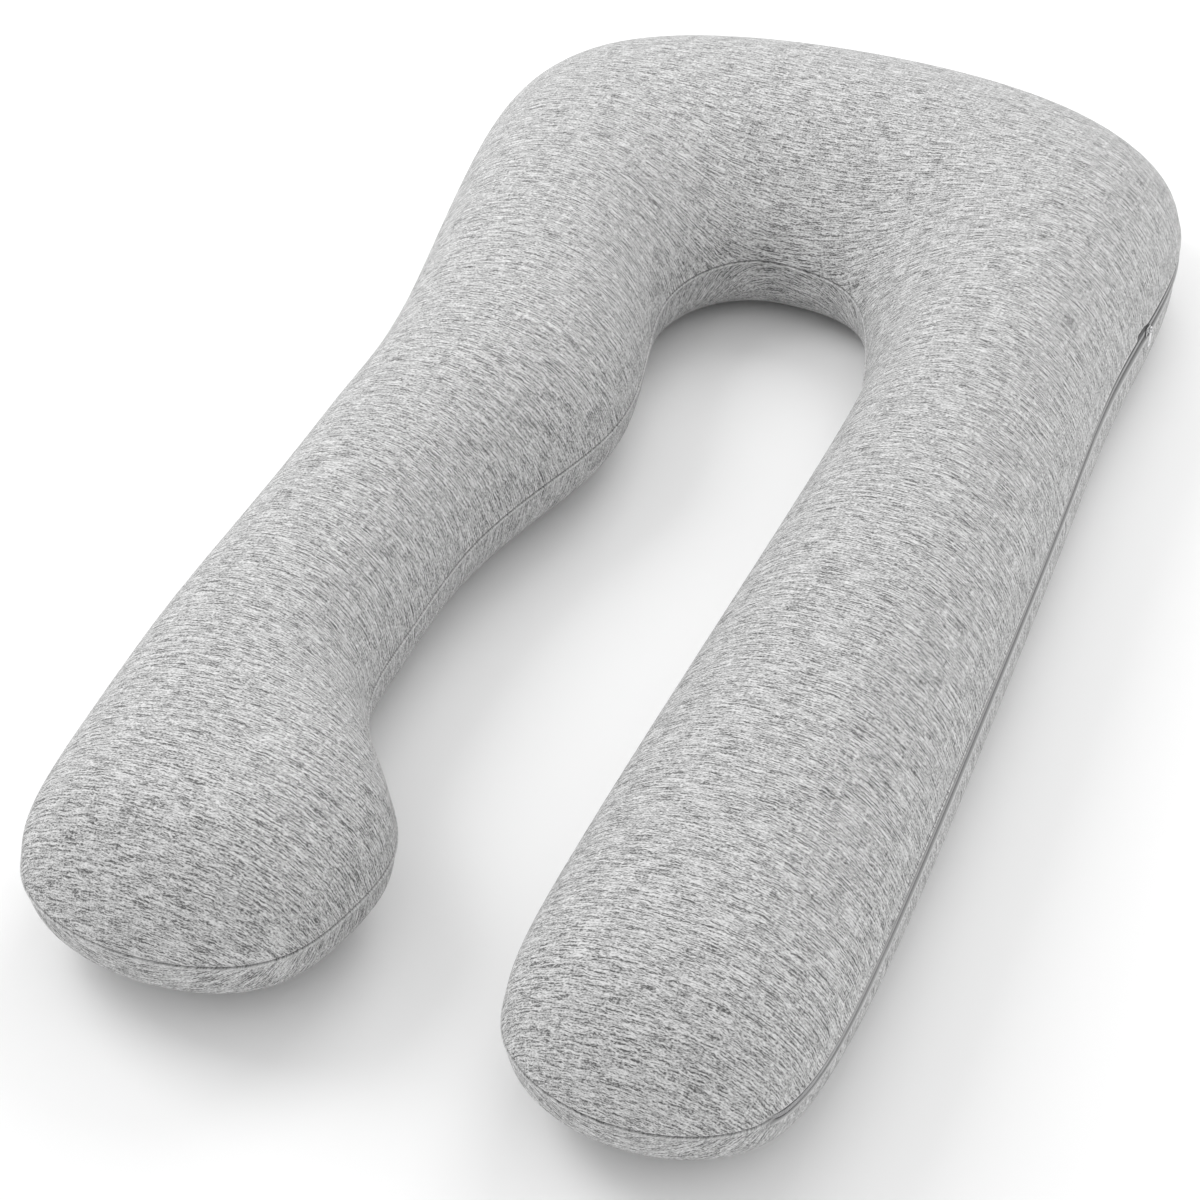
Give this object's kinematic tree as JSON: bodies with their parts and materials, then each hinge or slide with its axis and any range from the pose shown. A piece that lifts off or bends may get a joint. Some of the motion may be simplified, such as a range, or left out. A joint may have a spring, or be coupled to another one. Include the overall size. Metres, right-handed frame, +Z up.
{
  "type": "body pillow",
  "caption": "U-shaped full-length body pillow in heathered grey jersey, with a shaped arm, a straight arm and a zip in the outer seam.",
  "frame": {"origin": "middle of the pillow's bounding box, at the base that it lies on", "axes": "+Z up from the surface, the shortest side; +Y along the longest side, from the feet of the arms towards the head bar; +X towards the straight arm with the zip"},
  "size_m": [0.755, 1.4516, 0.2035],
  "materials": {
    "heather_jersey": "matt brushed jersey with darker and lighter streaks along the rows",
    "zip_tape": "matt woven tape with a closed nylon coil",
    "zip_metal": "satin metal"
  },
  "bodies": {
    "root": {"pillow_body": "heather_jersey", "zip_band": "zip_tape", "zip_slider": "zip_metal", "zip_pull": "zip_metal"}
  },
  "joints": []
}
